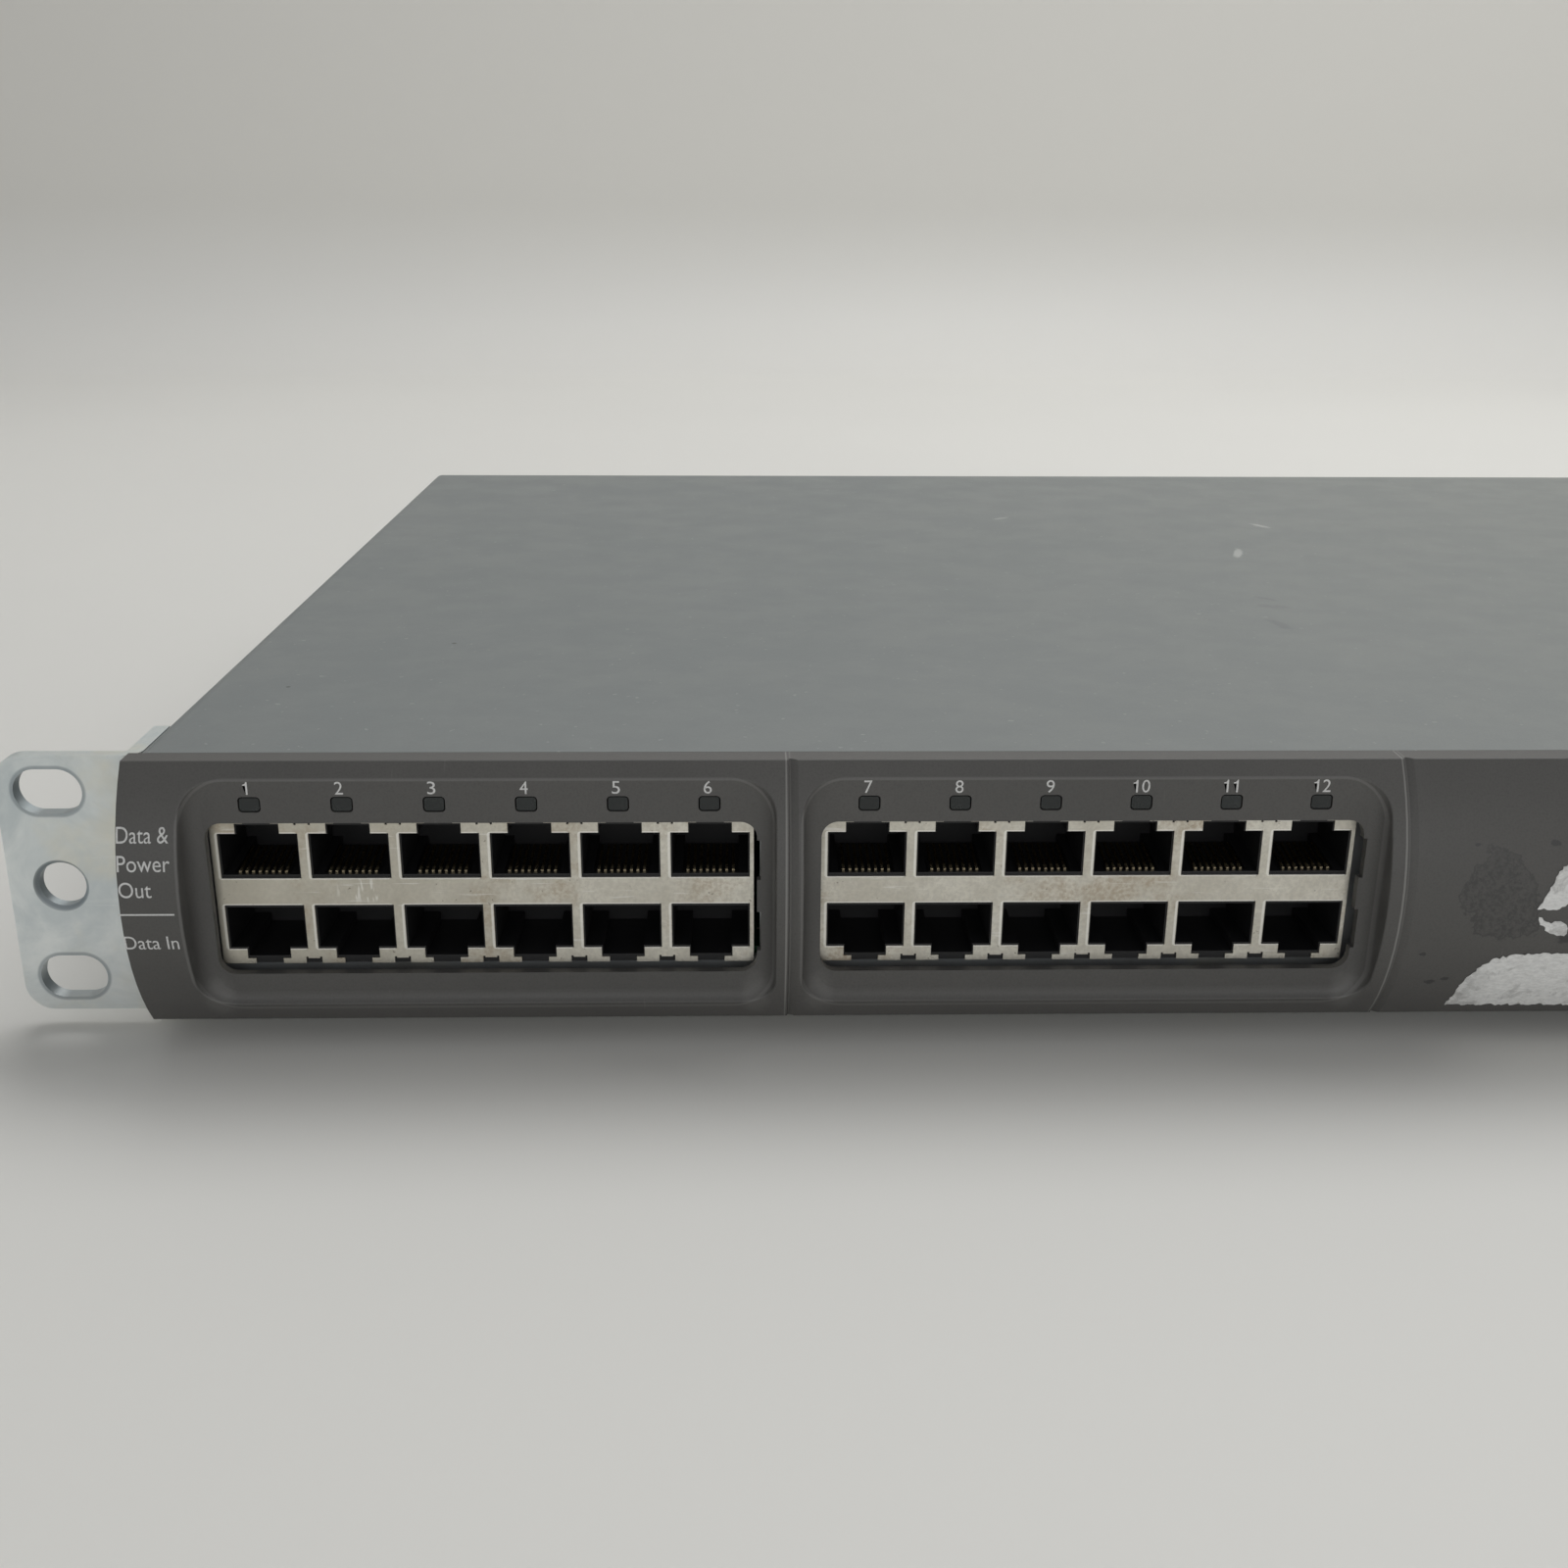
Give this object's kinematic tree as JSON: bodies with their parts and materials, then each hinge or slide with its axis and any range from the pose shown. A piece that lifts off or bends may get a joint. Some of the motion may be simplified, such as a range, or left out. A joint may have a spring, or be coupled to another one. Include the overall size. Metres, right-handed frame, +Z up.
{
  "type": "rackmount network switch",
  "caption": "One-unit rack chassis with a bulged front bezel, two pockets of stacked data jacks, slotted rack ears, side vents with fans and a rear mains inlet.",
  "frame": {"origin": "on the surface the rubber feet stand on, below the middle of the whole outline", "axes": "+X to the right when facing the jacks, +Y towards the rear, +Z up"},
  "size_m": [0.4814, 0.2906, 0.0476],
  "materials": {
    "cover_paint": "smooth satin blue-grey paint",
    "bezel_plastic": "fine-textured satin warm dark grey",
    "zinc_steel": "zinc-plated sheet",
    "zinc_ear": "zinc-plated sheet, mottled",
    "tinned_steel": "tin-plated spring sheet",
    "black_plastic": "moulded black",
    "gold_plate": "gold-plated",
    "clear_guide": "smoked clear, unlit",
    "screw_steel": "zinc-plated",
    "foot_rubber": "matt",
    "board_laminate": "green solder mask",
    "plated_brass": "nickel-plated",
    "led_body": "clear",
    "component_black": "moulded epoxy",
    "copper_winding": "enamelled copper",
    "winding_tape": "polyester tape",
    "ferrite": "sintered",
    "capacitor_sleeve": "shrink sleeve",
    "connector_nylon": "natural nylon",
    "capacitor_box": "moulded box",
    "sink_aluminium": "extruded",
    "fuse_glass": "clear tube",
    "pin_nickel": "nickel-plated",
    "fan_plastic": "moulded black",
    "wire_brown": "insulation",
    "wire_green": "insulation",
    "wire_red": "insulation",
    "wire_black": "insulation",
    "ribbon_grey": "ribbon insulation"
  },
  "bodies": {
    "case": {"board_connectors": "connector_nylon", "board_screws": "screw_steel", "board_standoffs": "plated_brass", "bulk_capacitors": "capacitor_sleeve", "chassis_tray": "zinc_steel", "control_board": "board_laminate", "control_chips": "component_black", "cover_screws": "screw_steel", "dc_wires": "wire_red", "ear_screws": "screw_steel", "earth_nuts": "screw_steel", "earth_ring_terminal": "pin_nickel", "earth_stud": "screw_steel", "earth_wire": "wire_green", "fan_screws": "screw_steel", "fan_wires": "wire_black", "filter_coils": "copper_winding", "front_bezel": "bezel_plastic", "front_fan_frame": "black_plastic", "front_fan_stator": "copper_winding", "fuse_clips": "plated_brass", "indicator_leds": "led_body", "inlet_housing": "black_plastic", "inlet_pins": "pin_nickel", "inlet_screws": "screw_steel", "left_jack_contacts": "gold_plate", "left_jack_housing": "black_plastic", "left_jack_shield": "tinned_steel", "left_light_pipes": "clear_guide", "left_rack_ear": "zinc_ear", "line_transformers": "component_black", "mains_filter_capacitors": "capacitor_box", "mains_filter_choke": "copper_winding", "mains_fuse": "fuse_glass", "mains_terminal_block": "connector_nylon", "mains_wires": "wire_brown", "output_capacitors": "capacitor_sleeve", "port_board": "board_laminate", "port_board_capacitors": "capacitor_sleeve", "port_switch_transistors": "component_black", "power_controller_chips": "component_black", "power_transistors": "component_black", "rear_fan_frame": "black_plastic", "rear_fan_stator": "copper_winding", "ribbon_cable": "ribbon_grey", "right_jack_contacts": "gold_plate", "right_jack_housing": "black_plastic", "right_jack_shield": "tinned_steel", "right_light_pipes": "clear_guide", "right_rack_ear": "zinc_ear", "rubber_feet": "foot_rubber", "status_light_pipes": "clear_guide", "supply_board": "board_laminate", "supply_heat_sinks": "sink_aluminium", "top_cover": "cover_paint", "transformer_core": "ferrite", "transformer_winding": "winding_tape"},
    "front_rotor": {"front_fan_rotor": "fan_plastic"},
    "rear_rotor": {"rear_fan_rotor": "fan_plastic"}
  },
  "joints": [
    {"name": "front_fan_spin", "type": "hinge", "parent": "case", "child": "front_rotor", "pos_m": [0.2053, -0.00717, 0.0258], "axis": [1, 0, 0], "continuous": true},
    {"name": "rear_fan_spin", "type": "hinge", "parent": "case", "child": "rear_rotor", "pos_m": [0.2053, 0.06284, 0.0258], "axis": [1, 0, 0], "continuous": true}
  ]
}
